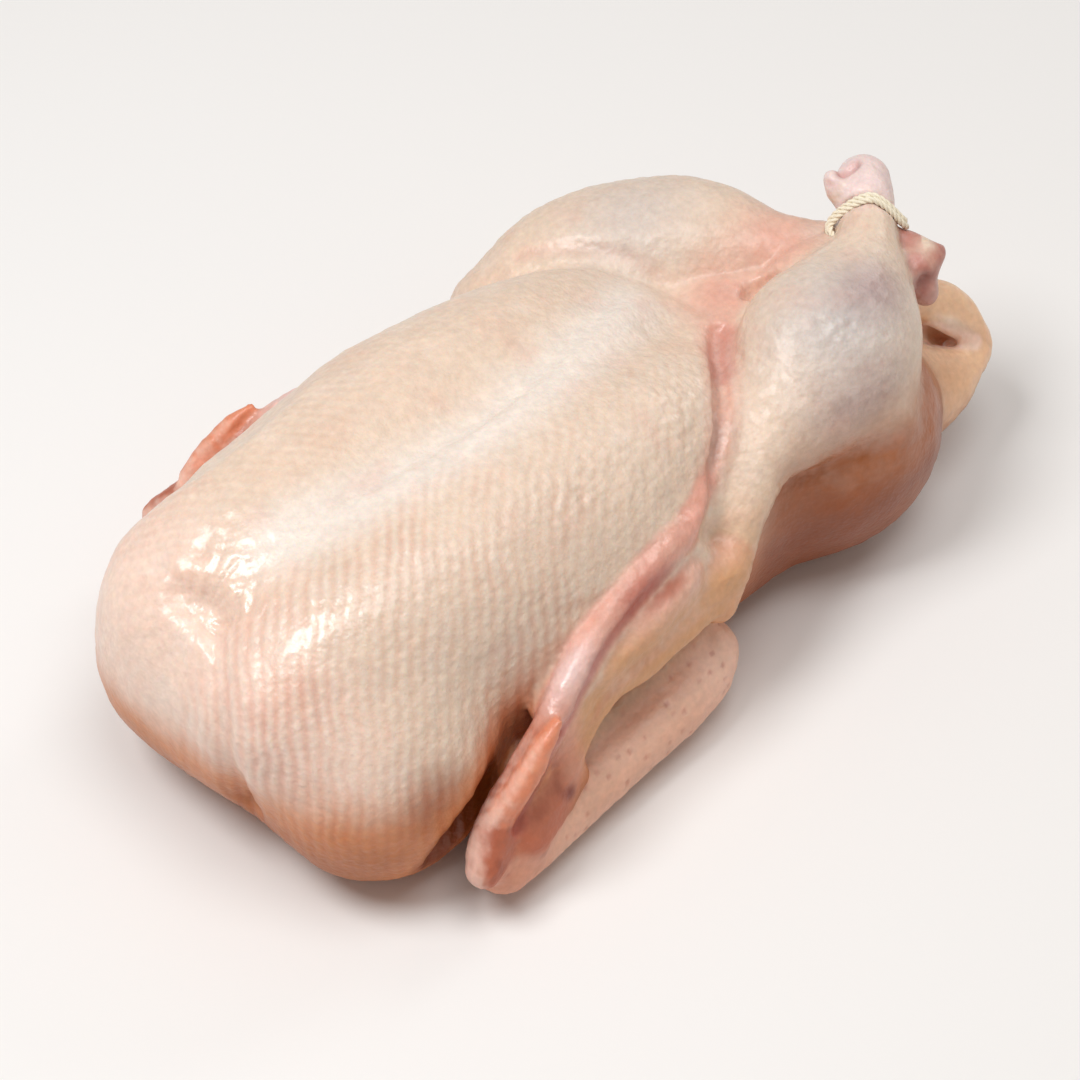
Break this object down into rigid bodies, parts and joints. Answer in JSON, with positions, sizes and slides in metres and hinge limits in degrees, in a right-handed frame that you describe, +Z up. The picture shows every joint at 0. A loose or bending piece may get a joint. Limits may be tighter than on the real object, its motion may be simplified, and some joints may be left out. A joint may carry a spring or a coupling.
{
  "type": "whole raw duck",
  "caption": "Plucked whole raw duck lying on its back, wings folded along its sides and crossed shanks tied over the vent with twine.",
  "frame": {"origin": "middle of the footprint, on the surface that the duck lies on", "axes": "+X from the neck end to the tail, +Y to the duck's left side, +Z up, with the breast on top"},
  "size_m": [0.3306, 0.1966, 0.1134],
  "materials": {
    "skin": "moist raw poultry skin, pale cream with pink where it is thin, semi-gloss",
    "twine": "undyed cotton butcher's twine, matt"
  },
  "bodies": {
    "root": {"duck": "skin", "twine": "twine"}
  },
  "joints": []
}
